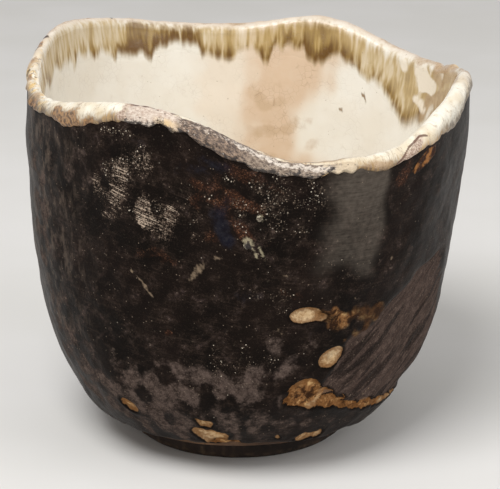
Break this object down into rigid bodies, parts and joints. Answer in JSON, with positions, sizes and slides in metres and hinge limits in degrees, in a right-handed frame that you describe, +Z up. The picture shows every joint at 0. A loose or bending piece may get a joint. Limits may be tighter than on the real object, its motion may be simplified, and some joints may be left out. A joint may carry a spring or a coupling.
{
  "type": "tea bowl",
  "caption": "Hand-shaped half-cylinder tea bowl with a wavy cream lip, black glazed outside, pale lining and a low foot ring.",
  "frame": {"origin": "on the floor, under the middle of the bowl's bounding box", "axes": "+Z up through the lip; -Y towards the side with the lowest dip of the lip, which faces the picture's camera; +X to the right in that view"},
  "size_m": [0.1094, 0.1128, 0.0959],
  "materials": {
    "clay": "matte",
    "foot_clay": "matte",
    "black_glaze": "satin",
    "cream_lip": "gloss",
    "grey_lip": "satin",
    "brown_run": "gloss",
    "cream_lining": "gloss",
    "stone": "matte"
  },
  "bodies": {
    "root": {"clay_body": "clay", "foot_ring": "foot_clay", "black_glaze": "black_glaze", "cream_lip_glaze": "cream_lip", "grey_lip_glaze": "grey_lip", "brown_run_glaze": "brown_run", "cream_lining": "cream_lining", "burst_stone": "stone", "small_stone": "stone"}
  },
  "joints": []
}
